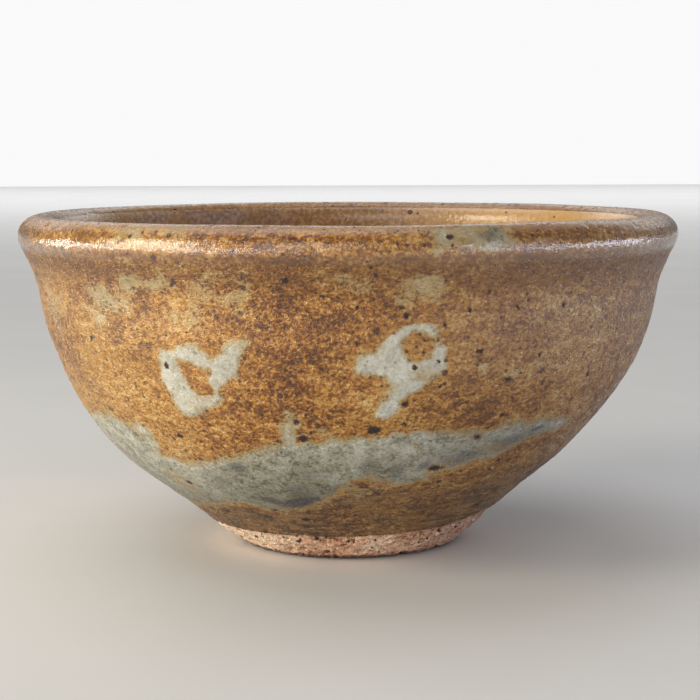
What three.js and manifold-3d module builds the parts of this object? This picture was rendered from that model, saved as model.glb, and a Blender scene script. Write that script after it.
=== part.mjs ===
// A hand-thrown stoneware tea bowl: clay wall and turned foot, glaze coats inside and out,
// and brushed slip decoration. Millimetres, +Z up, origin at the middle of the foot's base.
// The front of the bowl, with the two brushed marks, faces -Y.
import * as THREE from 'three';
import { mergeVertices } from 'three/addons/utils/BufferGeometryUtils.js';
import Module from 'manifold-3d';

// Driving dimensions
const LIP_DIAMETER = 125;
const HEIGHT = 63.2;
const FOOT_HEIGHT = 5.8;
const FOOT_TOP_RADIUS = 27;
const FOOT_BASE_RADIUS = 19.7;
const RECESS_RADIUS = 15.5;
const WELL_RADIUS = 10;
const WELL_Z = 11;

// The rolled lip: half-ellipse over a centre line, wider outside than inside
const ROLL_OUT = 4.2;
const ROLL_IN = 4;
const ROLL_HEIGHT = 3.8;
const ROLL_UNDERCUT_DEG = 28;
const OUTER_GLAZE_TOP_DEG = 84;

// Coats, and the clear space that neighbouring solids keep
const GLAZE = 0.6;
const SLIP = 0.5;
const GAP = 0.3;

// What the potter's hand left: the belly leans to one side and its underside is not level
const BELLY_LEAN = -0.7;
const BELLY_LEAN_TOP = 39;
const UNDERSIDE_TILT = 0.0225;
const TILT_TOP = 37.4;
const TILT_INNER_RADIUS = 18;
const TILT_OUTER_RADIUS = 26;

// The brushed band on the lower belly: its edges, as (azimuth in degrees from the front, z)
const BAND_UPPER = [
  [-100, 15], [-75, 24], [-50, 25], [-40, 21.2],
  [-20, 24.6], [0, 27.5], [15, 28.2], [50, 26.8],
];
const BAND_LOWER = [
  [-100, 13], [-75, 10.5], [-18, 12.4], [-4, 15.4],
  [6, 19.6], [18, 19], [36, 22.8], [50, 26],
];

// Facets
const SEGMENTS = 48;
const BELLY_STEPS = 11;
const BOWL_STEPS = 9;
const ROLL_STEPS = 4;
const BAND_STEP_DEG = 3;
const BAND_ROWS = 4;
const WELD = 1e-3;

const crestRadius = LIP_DIAMETER / 2 - ROLL_OUT;
const rollZ = HEIGHT - ROLL_HEIGHT;
const glazeToClay = GLAZE + GAP;

const wasm = await Module();
wasm.setup();

const materials = {
  clay: new THREE.MeshStandardMaterial({ color: 0xb08a70, roughness: 0.9, metalness: 0 }),
  insideGlaze: new THREE.MeshStandardMaterial({ color: 0x9a7358, roughness: 0.35, metalness: 0 }),
  outsideGlaze: new THREE.MeshStandardMaterial({ color: 0xb0713a, roughness: 0.5, metalness: 0 }),
  slip: new THREE.MeshStandardMaterial({ color: 0xa9ab98, roughness: 0.5, metalness: 0 }),
};

function point(radius, z) {
  return new THREE.Vector2(radius, z);
}

// Profiles run in the (radius, z) half-plane.

function rollArc(halfWidth, fromDeg, toDeg, steps) {
  const arc = [];
  for (let step = 0; step <= steps; step += 1) {
    const angle = THREE.MathUtils.degToRad(THREE.MathUtils.lerp(fromDeg, toDeg, step / steps));
    arc.push(point(crestRadius + halfWidth * Math.cos(angle), rollZ + ROLL_HEIGHT * Math.sin(angle)));
  }
  return arc;
}

// Outside of the glazed bowl, from the glaze line up to the lip's crest
function outsideProfile() {
  const underRoll = rollArc(ROLL_OUT, -ROLL_UNDERCUT_DEG, OUTER_GLAZE_TOP_DEG, ROLL_STEPS);
  const belly = new THREE.SplineCurve([
    point(FOOT_TOP_RADIUS, FOOT_HEIGHT),
    point(34.4, 11.4),
    point(44, 19.6),
    point(52.1, 30.3),
    point(57.2, 41.7),
    point(59.2, 51),
    underRoll[0],
  ]).getSpacedPoints(BELLY_STEPS);
  return [...belly, ...underRoll.slice(1)];
}

// Inside of the glazed bowl, from the lip's crest down to the flat well
function insideProfile() {
  const overRoll = rollArc(ROLL_IN, 90, 180, ROLL_STEPS);
  const bowl = new THREE.SplineCurve([
    overRoll[overRoll.length - 1],
    point(54.1, 51),
    point(52.3, 42.6),
    point(48, 32.8),
    point(40.2, 23.2),
    point(30.9, 15.7),
    point(19.5, 11.9),
    point(WELL_RADIUS, WELL_Z),
  ]).getSpacedPoints(BOWL_STEPS);
  return [...overRoll, ...bowl.slice(1)];
}

// Moves a profile sideways, to the left of its direction of travel
function offsetProfile(profile, distance) {
  return profile.map((here, index) => {
    const before = profile[Math.max(index - 1, 0)];
    const after = profile[Math.min(index + 1, profile.length - 1)];
    const along = after.clone().sub(before).normalize();
    return point(here.x - along.y * distance, here.y + along.x * distance);
  });
}

function ringProfile(outer, inner) {
  return [...outer, ...inner.slice().reverse(), outer[0].clone()];
}

function bellyLean(z) {
  const part = THREE.MathUtils.clamp((z - FOOT_HEIGHT) / (BELLY_LEAN_TOP - FOOT_HEIGHT), 0, 1);
  return BELLY_LEAN * Math.sin(Math.PI * part) ** 2;
}

function undersideTilt(radius, z) {
  const below = z / FOOT_HEIGHT;
  const above = 1 - (z - FOOT_HEIGHT) / (TILT_TOP - FOOT_HEIGHT);
  const height = THREE.MathUtils.clamp(Math.min(below, above), 0, 1);
  return UNDERSIDE_TILT * height * THREE.MathUtils.smoothstep(radius, TILT_INNER_RADIUS, TILT_OUTER_RADIUS);
}

// Every sub-part passes through the same small distortion, so the gaps between them stay even.
function throwByHand(geometry) {
  const position = geometry.attributes.position;
  for (let index = 0; index < position.count; index += 1) {
    const x = position.getX(index);
    const y = position.getY(index);
    const z = position.getZ(index);
    position.setX(index, x + bellyLean(z));
    position.setZ(index, z + x * undersideTilt(Math.hypot(x, y), z));
  }
  return geometry;
}

function turned(profile) {
  const geometry = new THREE.LatheGeometry(profile, SEGMENTS);
  geometry.rotateX(Math.PI / 2);
  return throwByHand(geometry);
}

function toSolid(geometry) {
  const bare = geometry.clone();
  bare.deleteAttribute('normal');
  bare.deleteAttribute('uv');
  const welded = mergeVertices(bare, WELD);
  const vertProperties = welded.attributes.position.array;
  const triVerts = Uint32Array.from(welded.index.array);
  return new wasm.Manifold(new wasm.Mesh({ numProp: 3, vertProperties, triVerts }));
}

function toGeometry(solid) {
  const mesh = solid.getMesh();
  const geometry = new THREE.BufferGeometry();
  geometry.setAttribute('position', new THREE.BufferAttribute(mesh.vertProperties, 3));
  geometry.setIndex(new THREE.BufferAttribute(mesh.triVerts, 1));
  geometry.computeVertexNormals();
  return geometry;
}

function named(name, geometry, material) {
  const mesh = new THREE.Mesh(geometry, material);
  mesh.name = name;
  return mesh;
}

// Thrown wall, rolled lip and floor
function clayBody(outside, inside) {
  const outer = offsetProfile(outside, glazeToClay);
  const inner = offsetProfile(inside, glazeToClay);
  const profile = [
    point(0, FOOT_HEIGHT),
    point(TILT_INNER_RADIUS, FOOT_HEIGHT),
    point(outer[0].x, FOOT_HEIGHT),
    ...outer,
    ...inner.slice(0, -1),
    point(WELL_RADIUS, WELL_Z - glazeToClay),
    point(0, WELL_Z - glazeToClay),
  ];
  return named('clay_body', turned(profile), materials.clay);
}

// Bare foot, flaring up to the belly and hollowed underneath
function footRing() {
  const top = FOOT_HEIGHT - GAP;
  const profile = [
    point(RECESS_RADIUS, 0),
    point(FOOT_BASE_RADIUS, 0),
    point(21.1, 0.5),
    point(22.9, 1.9),
    point(25.2, 3.8),
    point(FOOT_TOP_RADIUS - GAP, top),
    point(TILT_INNER_RADIUS, top),
    point(RECESS_RADIUS - 1, top),
    point(RECESS_RADIUS - 0.6, 0.8),
    point(RECESS_RADIUS, 0),
  ];
  return named('foot_ring', turned(profile), materials.clay);
}

function outerGlaze(outside) {
  const profile = ringProfile(outside, offsetProfile(outside, GLAZE));
  return named('outer_glaze', turned(profile), materials.outsideGlaze);
}

// Lines the whole hollow, so its profile ends on the axis
function innerGlaze(inside) {
  const under = offsetProfile(inside, GLAZE).slice(0, -1);
  const profile = [
    point(0, WELL_Z - GLAZE),
    point(WELL_RADIUS, WELL_Z - GLAZE),
    ...under.reverse(),
    ...inside,
    point(0, WELL_Z),
  ];
  return named('inner_glaze', turned(profile), materials.insideGlaze);
}

// A thin sheet that follows the outer glaze between two heights
function slipShell(outside, lowZ, highZ) {
  const covered = outside.filter((here) => here.y > lowZ && here.y < highZ);
  return turned(ringProfile(offsetProfile(covered, -GAP - SLIP), offsetProfile(covered, -GAP)));
}

// A straight prism whose outline faces outwards at the azimuth, in degrees from the front
function outwardPrism(shape, azimuthDeg) {
  const geometry = new THREE.ExtrudeGeometry(shape, {
    depth: LIP_DIAMETER / 2,
    bevelEnabled: false,
    curveSegments: 5,
  });
  const azimuth = THREE.MathUtils.degToRad(azimuthDeg);
  const tangent = new THREE.Vector3(Math.cos(azimuth), Math.sin(azimuth), 0);
  const outward = new THREE.Vector3(Math.sin(azimuth), -Math.cos(azimuth), 0);
  const basis = new THREE.Matrix4().makeBasis(tangent, new THREE.Vector3(0, 0, 1), outward);
  basis.setPosition(outward.clone().multiplyScalar(FOOT_TOP_RADIUS));
  return geometry.applyMatrix4(basis);
}

function brushedSlip(name, outside, shape, azimuthDeg, lowZ, highZ) {
  const shell = toSolid(slipShell(outside, lowZ, highZ));
  const solid = shell.intersect(toSolid(outwardPrism(shape, azimuthDeg)));
  return named(name, toGeometry(solid), materials.slip);
}

// Outlines below are in (along the wall, z), from the azimuth where each prism is aimed.

// A loop with a raised arm and a hanging lobe
function leftMarkShape() {
  const shape = new THREE.Shape();
  shape.moveTo(-8.1, 41.9);
  shape.quadraticCurveTo(-3.5, 46, 1.7, 41.6);
  shape.quadraticCurveTo(5, 42.4, 8.6, 44.7);
  shape.quadraticCurveTo(8.6, 39.6, 2.8, 35.9);
  shape.quadraticCurveTo(1.5, 32.2, -4.4, 30.8);
  shape.quadraticCurveTo(-7, 32.6, -7, 35.8);
  shape.quadraticCurveTo(-9, 39, -8.1, 41.9);
  const eye = new THREE.Path();
  eye.moveTo(-4.5, 40.6);
  eye.quadraticCurveTo(-4.6, 37, -3.4, 35.8);
  eye.quadraticCurveTo(0.4, 35.2, 1.3, 39.2);
  eye.quadraticCurveTo(-1.2, 41.4, -4.5, 40.6);
  shape.holes.push(eye);
  return shape;
}

// A ring with a spur on its left and a stem below
function rightMarkShape() {
  const shape = new THREE.Shape();
  shape.moveTo(-8.6, 42.4);
  shape.quadraticCurveTo(-4.8, 43.4, -3.2, 46);
  shape.quadraticCurveTo(0.8, 48.4, 4.7, 46.3);
  shape.quadraticCurveTo(7, 43, 5.5, 39.2);
  shape.quadraticCurveTo(1.6, 38.6, -0.9, 34.6);
  shape.quadraticCurveTo(-1, 31, -4.8, 31.4);
  shape.quadraticCurveTo(-5.8, 36, -4.1, 38.7);
  shape.quadraticCurveTo(-6.6, 39.8, -8.3, 39.4);
  shape.closePath();
  const eye = new THREE.Path();
  eye.absellipse(1.1, 43.8, 2.8, 2.3, 0, 2 * Math.PI);
  shape.holes.push(eye);
  return shape;
}

function blotShape(halfWidth, lowZ, highZ) {
  const shape = new THREE.Shape();
  shape.absellipse(0, (lowZ + highZ) / 2, halfWidth, (highZ - lowZ) / 2, 0, 2 * Math.PI);
  return shape;
}

function edgeHeight(edge, azimuthDeg) {
  const next = Math.max(edge.findIndex(([azimuth]) => azimuth >= azimuthDeg), 1);
  const [fromAzimuth, fromZ] = edge[next - 1];
  const [toAzimuth, toZ] = edge[next];
  return THREE.MathUtils.mapLinear(azimuthDeg, fromAzimuth, toAzimuth, fromZ, toZ);
}

// The point of a profile at a height, by straight lines between its points
function profileAt(profile, z) {
  const next = profile.findIndex((here) => here.y >= z);
  const from = profile[next - 1];
  const to = profile[next];
  return from.clone().lerp(to, (z - from.y) / (to.y - from.y));
}

// A closed loop of points round the band's section at one azimuth
function bandSection(under, over, azimuthDeg) {
  const azimuth = THREE.MathUtils.degToRad(azimuthDeg);
  const lowZ = edgeHeight(BAND_LOWER, azimuthDeg);
  const highZ = edgeHeight(BAND_UPPER, azimuthDeg);
  const place = (profile, row) => {
    const here = profileAt(profile, THREE.MathUtils.lerp(lowZ, highZ, row / BAND_ROWS));
    return [here.x * Math.sin(azimuth), -here.x * Math.cos(azimuth), here.y];
  };
  const rows = [...Array(BAND_ROWS + 1).keys()];
  return [...rows.map((row) => place(over, row)), ...rows.reverse().map((row) => place(under, row))];
}

function slipBand(outside) {
  const over = offsetProfile(outside, -GAP - SLIP);
  const under = offsetProfile(outside, -GAP);
  const fromDeg = BAND_UPPER[0][0];
  const toDeg = BAND_UPPER[BAND_UPPER.length - 1][0];
  const corners = [];
  for (let azimuthDeg = fromDeg; azimuthDeg <= toDeg; azimuthDeg += BAND_STEP_DEG) {
    corners.push(...bandSection(under, over, azimuthDeg));
  }
  const ring = 2 * (BAND_ROWS + 1);
  const last = corners.length - ring;
  const faces = [];
  for (let start = 0; start < last; start += ring) {
    for (let index = 0; index < ring; index += 1) {
      const a = start + index;
      const b = start + (index + 1) % ring;
      faces.push(a, a + ring, b, b, a + ring, b + ring);
    }
  }
  for (let row = 0; row < BAND_ROWS; row += 1) {
    const mate = ring - 1 - row;
    faces.push(row, row + 1, mate, row + 1, mate - 1, mate);
    faces.push(last + row, last + mate, last + row + 1, last + row + 1, last + mate, last + mate - 1);
  }
  const geometry = new THREE.BufferGeometry();
  geometry.setAttribute('position', new THREE.Float32BufferAttribute(corners.flat(), 3));
  geometry.setIndex(faces);
  throwByHand(geometry).computeVertexNormals();
  return named('slip_band', geometry, materials.slip);
}

const outside = outsideProfile();
const inside = insideProfile();
const bowl = new THREE.Group();
bowl.add(
  clayBody(outside, inside),
  footRing(),
  innerGlaze(inside),
  outerGlaze(outside),
  slipBand(outside),
  brushedSlip('slip_mark_left', outside, leftMarkShape(), -25, 24, 54),
  brushedSlip('slip_mark_right', outside, rightMarkShape(), 10, 24, 56),
  brushedSlip('slip_patch_lip', outside, blotShape(5.5, 57.5, 61.5), 18, 54, 62.8),
  brushedSlip('slip_patch_shoulder', outside, blotShape(9, 46, 53.5), -42, 40, 58),
);

export default bowl;
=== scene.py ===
"""A hand-thrown stoneware tea bowl: rust glaze, brushed pale slip, bare turned foot."""

import itertools
import math

import bpy
import numpy as np
from mathutils import Euler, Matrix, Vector


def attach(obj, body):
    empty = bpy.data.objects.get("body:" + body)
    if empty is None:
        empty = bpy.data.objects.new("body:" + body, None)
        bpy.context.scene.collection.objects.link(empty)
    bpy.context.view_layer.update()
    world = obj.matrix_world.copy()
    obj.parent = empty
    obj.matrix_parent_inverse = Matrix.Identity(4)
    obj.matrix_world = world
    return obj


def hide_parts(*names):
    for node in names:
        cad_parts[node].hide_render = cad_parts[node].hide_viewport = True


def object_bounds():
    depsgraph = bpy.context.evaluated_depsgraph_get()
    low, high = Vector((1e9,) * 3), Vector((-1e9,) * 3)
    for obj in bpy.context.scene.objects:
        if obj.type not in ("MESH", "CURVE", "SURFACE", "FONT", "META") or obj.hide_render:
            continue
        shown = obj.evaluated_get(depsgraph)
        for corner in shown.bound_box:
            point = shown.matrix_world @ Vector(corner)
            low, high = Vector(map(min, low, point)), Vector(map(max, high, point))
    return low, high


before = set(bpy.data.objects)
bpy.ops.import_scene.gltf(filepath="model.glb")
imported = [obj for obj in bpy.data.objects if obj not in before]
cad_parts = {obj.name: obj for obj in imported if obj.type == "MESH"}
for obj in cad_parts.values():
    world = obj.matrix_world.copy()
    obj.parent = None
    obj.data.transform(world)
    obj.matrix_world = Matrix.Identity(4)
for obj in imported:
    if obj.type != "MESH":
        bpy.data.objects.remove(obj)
cad_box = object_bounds()

# -------- camera and stage
# First, so that the view is settled before anything is built. Metres and radians.

CAMERA_DISTANCE = 0.3322
CAMERA_HEIGHT = 0.0758
CAMERA_PITCH = 0.1179
CAMERA_ROLL = 0.0034
CAMERA_YAW = 0.0012
CAMERA_LENS_MM = 88.66

AMBIENT = 0.2
BACKDROP = 0.95

BOWL_MIDDLE = (0, 0, 0.035)
LIP_FRONT = (0, -0.07, 0.050)
WARM_WHITE = (1.0, 0.94, 0.84)

# Soft lamps: name, place, aim, size, power in watts and colour. The strips are long and low
# and draw the bright line round the lip. The last one lights the far floor, so that it fades
# into the backdrop.
SOFTBOXES = (
    ("key", (-0.74, -0.30, 0.34), BOWL_MIDDLE, (0.34, 0.34), 3.6, (1.0, 0.9, 0.7)),
    ("fill", (0.7, -0.35, 0.2), BOWL_MIDDLE, (0.35, 0.5), 0.15, (0.86, 0.9, 1.0)),
    ("front", (-0.2, -0.8, 0.4), BOWL_MIDDLE, (0.5, 0.5), 1.7, WARM_WHITE),
    ("left_strip", (-0.30, -0.125, 0.050), LIP_FRONT, (0.56, 0.014), 0.6, WARM_WHITE),
    ("front_left_strip", (-0.22, -0.36, 0.050), (0, -0.02, 0.050), (0.3, 0.012), 0.15, (1.0, 0.92, 0.88)),
    ("right_strip", (0.30, -0.125, 0.050), LIP_FRONT, (0.56, 0.014), 0.4, (0.8, 0.85, 1.0)),
    ("background", (0, 2.3, 1.0), (0, 2.3, 0), (4.0, 1.4), 28.0, (1.0, 1.0, 1.0)),
)

# A broad sun from above, behind and to the left
OVERHEAD_STRENGTH = 0.75
OVERHEAD_SPREAD = math.radians(50)
OVERHEAD_TURN = (math.radians(-12), math.radians(-14), 0)

MM = 0.001


def srgb(red, green, blue):
    """A colour picked as 0 to 255 on a screen, as the linear colour that shaders use."""
    channels = [value / 255 for value in (red, green, blue)]
    linear = [c / 12.92 if c <= 0.04045 else ((c + 0.055) / 1.055) ** 2.4 for c in channels]
    return (*linear, 1.0)


def add_object(name, data):
    thing = bpy.data.objects.new(name, data)
    bpy.context.collection.objects.link(thing)
    return thing


def add_camera():
    data = bpy.data.cameras.new("camera")
    data.lens = CAMERA_LENS_MM
    data.clip_start = 0.01
    camera = add_object("camera", data)
    camera.location = (0, -CAMERA_DISTANCE, CAMERA_HEIGHT)
    camera.rotation_euler = Euler((math.pi / 2 - CAMERA_PITCH, CAMERA_ROLL, -CAMERA_YAW), "XYZ")
    bpy.context.scene.camera = camera


def add_softbox(name, place, aim, size, power, colour):
    data = bpy.data.lights.new(name, "AREA")
    data.shape = "RECTANGLE"
    data.size, data.size_y = size
    data.energy = power
    data.color = colour
    lamp = add_object(name, data)
    lamp.location = place
    lamp.rotation_euler = (Vector(aim) - Vector(place)).to_track_quat("-Z", "Y").to_euler()
    lamp.visible_camera = False


def add_overhead():
    data = bpy.data.lights.new("overhead", "SUN")
    data.energy = OVERHEAD_STRENGTH
    data.angle = OVERHEAD_SPREAD
    lamp = add_object("overhead", data)
    lamp.rotation_euler = OVERHEAD_TURN


def add_lights():
    for softbox in SOFTBOXES:
        add_softbox(*softbox)
    add_overhead()


def add_world():
    """Soft light from all round, seen by the camera as a plain white backdrop."""
    world = bpy.data.worlds.new("studio")
    world.use_nodes = True
    nodes, links = world.node_tree.nodes, world.node_tree.links
    background = nodes["Background"]
    background.inputs["Color"].default_value = (1, 1, 1, 1)
    seen = nodes.new("ShaderNodeLightPath")
    strength = nodes.new("ShaderNodeMapRange")
    strength.inputs["To Min"].default_value = AMBIENT
    strength.inputs["To Max"].default_value = BACKDROP
    links.new(seen.outputs["Is Camera Ray"], strength.inputs["Value"])
    links.new(strength.outputs["Result"], background.inputs["Strength"])
    bpy.context.scene.world = world
    bpy.context.scene.view_settings.view_transform = "Standard"


# -------- sizes, in millimetres

bowl_low, bowl_high = (corner / MM for corner in cad_box)

LIP_RADIUS = (bowl_high.x - bowl_low.x) / 2
HEIGHT = bowl_high.z
FOOT_HEIGHT = 5.8
FOOT_TOP_RADIUS = 27.0
FOOT_BASE_RADIUS = 19.7
RECESS_RADIUS = 15.5
WELL_RADIUS = 10.0
WELL_Z = 11.0
FLARE_END = (30.9, 9.25)

ROLL_OUT = 4.2
ROLL_IN = 4.0
ROLL_HEIGHT = 3.8
ROLL_UNDERCUT = math.radians(28)
CREST_RADIUS = LIP_RADIUS - ROLL_OUT
ROLL_Z = HEIGHT - ROLL_HEIGHT

GLAZE = 0.6

# The glaze line above the foot: its place along the skin, how much higher it runs at the
# right, and how far up the coat's rows still follow it
GLAZE_LINE = 1.3
GLAZE_LINE_RISE = 4.6
GLAZE_LINE_FADE = 5.0

# The two coats lap inside the lip, where the edges of both dive
OUTER_COAT_OVERLAP = 4.5
COAT_LAP = 3.0
COAT_DIVE = 0.35

# How far the roll runs down the outside, how much deeper the inner coat's underside lies, how
# deep the clay wall lies under the skin, and how near the axis the rows end
ROLL_REACH = 10.0
INNER_DEEPER = 0.3
CLAY_DEPTH = 1.1
AXIS_GAP = 0.25

# The clay wall's bare underside, where its skin starts, and the marks left by the wheel
UNDERSIDE_RADIUS = 25.6
CLAY_START = 3.5
GROOVE_PITCH = 2.6
GROOVE_DEPTH = 0.14
RIDGE_PITCH = 6.5
RIDGE_HEIGHT = 0.16

# Slip sheets: the skirt past the outline, the rise of a mark and of a wash, how far the edge
# is sunk, and the steps of the grids
SLIP_SKIRT = 0.9
SLIP_RISE = 0.1
WASH_RISE = 0.03
SLIP_SINK = 0.3
FINE_STEP = 0.3
MARK_STEP = 0.36
BAND_STEP = 0.5

OUTER_COLUMNS = 720
INNER_COLUMNS = 480
CLAY_COLUMNS = 240
FOOT_COLUMNS = 640

# The lean of the belly and the tilt of its underside, as in the CAD model
BELLY_LEAN = -0.7
BELLY_LEAN_TOP = 39.0
UNDERSIDE_TILT = 0.0225
TILT_TOP = 37.4
TILT_INNER_RADIUS = 18.0
TILT_OUTER_RADIUS = 26.0


# -------- small maths

def smoothstep(low, high, value):
    part = np.clip((value - low) / (high - low), 0, 1)
    return part * part * (3 - 2 * part)


def lattice_gradients(cells, seed):
    """A repeatable unit vector for each integer cell."""
    mixed = cells[:, 0] * 374761393 + cells[:, 1] * 668265263 + cells[:, 2] * 2147483647 + seed * 1274126177
    mixed = ((mixed ^ (mixed >> 13)) * 1103515245) & 0xFFFFFFFF
    mixed = mixed ^ (mixed >> 16)
    angle = (mixed & 0xFFFF) / 0xFFFF * 2 * np.pi
    height = ((mixed >> 16) & 0xFFFF) / 0xFFFF * 2 - 1
    ring = np.sqrt(1 - height * height)
    return np.stack([ring * np.cos(angle), ring * np.sin(angle), height], axis=1)


def noise(points, seed):
    """Smooth gradient noise, about -1 to 1, one cell per unit, at points of shape (..., 3)."""
    flat = points.reshape(-1, 3)
    cells = np.floor(flat).astype(np.int64)
    frac = flat - cells
    fade = frac ** 3 * (frac * (frac * 6 - 15) + 10)
    total = np.zeros(len(flat))
    for corner in itertools.product((0, 1), repeat=3):
        weight = np.prod(np.where(corner, fade, 1 - fade), axis=1)
        gradients = lattice_gradients(cells + np.array(corner), seed)
        total += weight * np.sum(gradients * (frac - corner), axis=1)
    return 1.6 * total.reshape(points.shape[:-1])


def catmull_rom(points, steps, closed=False):
    """A smooth curve through points, steps per span."""
    points = np.array(points, float)
    if closed:
        padded = np.vstack([points[-1:], points, points[:2]])
    else:
        padded = np.vstack([points[:1], points, points[-1:]])
    t = np.linspace(0, 1, steps, endpoint=False)[:, None]
    spans = []
    for a, b, c, d in zip(padded, padded[1:], padded[2:], padded[3:]):
        spans.append(0.5 * (2 * b + (c - a) * t + (2 * a - 5 * b + 4 * c - d) * t ** 2
                            + (3 * b - a - 3 * c + d) * t ** 3))
    if not closed:
        spans.append(points[-1:])
    return np.vstack(spans)


# -------- the bowl's skin
# One curve in the (radius, z) half-plane: from just under the glaze line up the outside, over
# the lip, down the inside and across the well to the axis. All pieces but the foot follow it.

def roll_arc(half_width, start, end, steps):
    angle = np.linspace(start, end, steps)
    return np.stack([CREST_RADIUS + half_width * np.cos(angle), ROLL_Z + ROLL_HEIGHT * np.sin(angle)], axis=1)


def skin_points():
    outer_roll = roll_arc(ROLL_OUT, -ROLL_UNDERCUT, math.pi / 2, 40)
    inner_roll = roll_arc(ROLL_IN, math.pi / 2, math.pi, 30)
    belly = [(FOOT_TOP_RADIUS - 0.9, FOOT_HEIGHT - 1), (34.4, 11.4), (44, 19.6), (52.1, 30.3), (57.2, 41.7),
             (59.2, 51), outer_roll[0]]
    hollow = [inner_roll[-1], (54.1, 51), (52.3, 42.6), (48, 32.8), (40.2, 23.2), (30.9, 15.7),
              (19.5, 11.9), (WELL_RADIUS, WELL_Z)]
    well = [(radius, WELL_Z) for radius in np.linspace(WELL_RADIUS, 0, 20)]
    return np.vstack([catmull_rom(belly, 40)[:-1], outer_roll, inner_roll[1:],
                      catmull_rom(hollow, 30)[1:], well[1:]])


class Skin:
    """The skin curve by arc length s, with its outward normal."""

    def __init__(self, points):
        steps = np.hypot(*np.diff(points, axis=0).T)
        raw = np.concatenate([[0], np.cumsum(steps)])
        self.s = np.linspace(0, raw[-1], 900)
        self.r = np.interp(self.s, raw, points[:, 0])
        self.z = np.interp(self.s, raw, points[:, 1])
        along_r = np.gradient(self.r, self.s)
        along_z = np.gradient(self.z, self.s)
        size = np.hypot(along_r, along_z)
        kernel = np.ones(9) / 9
        self.normal_r = np.convolve(np.pad(along_z / size, 4, mode="edge"), kernel, "valid")
        self.normal_z = np.convolve(np.pad(-along_r / size, 4, mode="edge"), kernel, "valid")
        self.end = raw[-1]
        self.crest = self.s[np.argmax(self.z)]

    def at(self, s):
        return np.interp(s, self.s, self.r), np.interp(s, self.s, self.z)

    def normal(self, s):
        return np.interp(s, self.s, self.normal_r), np.interp(s, self.s, self.normal_z)

    def s_outside(self, z):
        """Where the outside of the wall reaches a height."""
        outside = self.s <= self.crest
        return np.interp(z, self.z[outside], self.s[outside])


skin = Skin(skin_points())


def hand_thrown(points):
    """Lean and tilt the turned form as the CAD model does."""
    x, y, z = np.moveaxis(points, -1, 0)
    radius = np.hypot(x, y)
    lean_part = np.clip((z - FOOT_HEIGHT) / (BELLY_LEAN_TOP - FOOT_HEIGHT), 0, 1)
    below = z / FOOT_HEIGHT
    above = 1 - (z - FOOT_HEIGHT) / (TILT_TOP - FOOT_HEIGHT)
    tilt = UNDERSIDE_TILT * np.clip(np.minimum(below, above), 0, 1)
    tilt = tilt * smoothstep(TILT_INNER_RADIUS, TILT_OUTER_RADIUS, radius)
    return np.stack([x + BELLY_LEAN * np.sin(np.pi * lean_part) ** 2, y, z + x * tilt], axis=-1)


def turned(phi, radius, z):
    """Points at an angle phi (radians from the front, towards +X), as turned on the wheel."""
    phi, radius, z = np.broadcast_arrays(phi, radius, z)
    return np.stack([radius * np.sin(phi), -radius * np.cos(phi), z], axis=-1)


def skin_place(phi, s, lift):
    """Points raised off the skin by lift, leaned and tilted."""
    radius, z = skin.at(s)
    normal_r, normal_z = skin.normal(s)
    return hand_thrown(turned(phi, np.maximum(radius + lift * normal_r, 0), z + lift * normal_z))


# -------- brushed slip: where it lies
# Outlines are in (along the wall, height), millimetres, from the azimuth named with each mark.

WALL_RADIUS = 57.0
BAND_END_RADIUS = 46


def signed_distance(x, y, outline):
    """Distance into a closed outline, negative outside."""
    x, y = np.broadcast_arrays(x, y)
    ends = np.roll(outline, -1, axis=0)
    nearest = np.full(x.shape, 1e9)
    inside = np.zeros(x.shape, bool)
    for (ax, ay), (bx, by) in zip(outline, ends):
        length = (bx - ax) ** 2 + (by - ay) ** 2
        part = np.clip(((x - ax) * (bx - ax) + (y - ay) * (by - ay)) / length, 0, 1)
        nearest = np.minimum(nearest, np.hypot(x - ax - part * (bx - ax), y - ay - part * (by - ay)))
        if ay != by:
            crosses = ((ay > y) != (by > y)) & (x < (bx - ax) * (y - ay) / (by - ay) + ax)
            inside ^= crosses
    return np.where(inside, nearest, -nearest)


def ellipse(centre, half_sizes):
    angle = np.linspace(0, 2 * math.pi, 24, endpoint=False)
    return np.array(centre) + np.array(half_sizes) * np.stack([np.cos(angle), np.sin(angle)], axis=1)


OUTLINE_STEPS = 6

# A loop, its raised arm and the lobe that hangs below it
LOOP_AZIMUTH = math.radians(-25)
LOOP_OUTLINE = catmull_rom([
    (-8.2, 41.7), (-7.2, 42.3), (-5.2, 42.4), (-4.1, 43.4), (-1.6, 43.9), (0.7, 42.3), (1.9, 41.5),
    (3.8, 42.5), (5, 44.2), (8.9, 44.8), (8.4, 43.2), (6.9, 41), (6.2, 38.7), (3, 36.4), (2.2, 33.9),
    (-1.8, 31.6), (-4.9, 30.9), (-7, 31.6), (-8.1, 34), (-9.3, 36.6), (-9.1, 39),
], OUTLINE_STEPS, closed=True)
LOOP_EYE = catmull_rom([
    (-4.7, 40.6), (-2.7, 40.4), (-0.2, 39.3), (1.5, 39.1), (0.5, 37.6), (0.9, 35.8), (0.2, 34.7),
    (-2.6, 35.4), (-3.9, 36.7), (-4.7, 38.4),
], OUTLINE_STEPS, closed=True)

# A ring with a spur on its left and a stem below
RING_AZIMUTH = math.radians(10)
RING_OUTLINE = catmull_rom([
    (-8.7, 39.6), (-8.3, 42.5), (-7, 42.9), (-5.6, 42.6), (-5.1, 44), (-3, 46), (-1, 47), (1.6, 47.5),
    (3.6, 47.1), (4.9, 45.8), (4.9, 44), (5.9, 42.8), (5.8, 39.2), (4.3, 37.7), (2.1, 36), (-0.1, 35.1),
    (-0.8, 33.2), (-2.2, 31.7), (-3.9, 31.2), (-5.3, 31.7), (-4.4, 33.8), (-4.2, 37.8), (-5.2, 38.8),
], OUTLINE_STEPS, closed=True)
RING_EYE = ellipse((1.2, 43.7), (2.7, 2.45))

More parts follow.
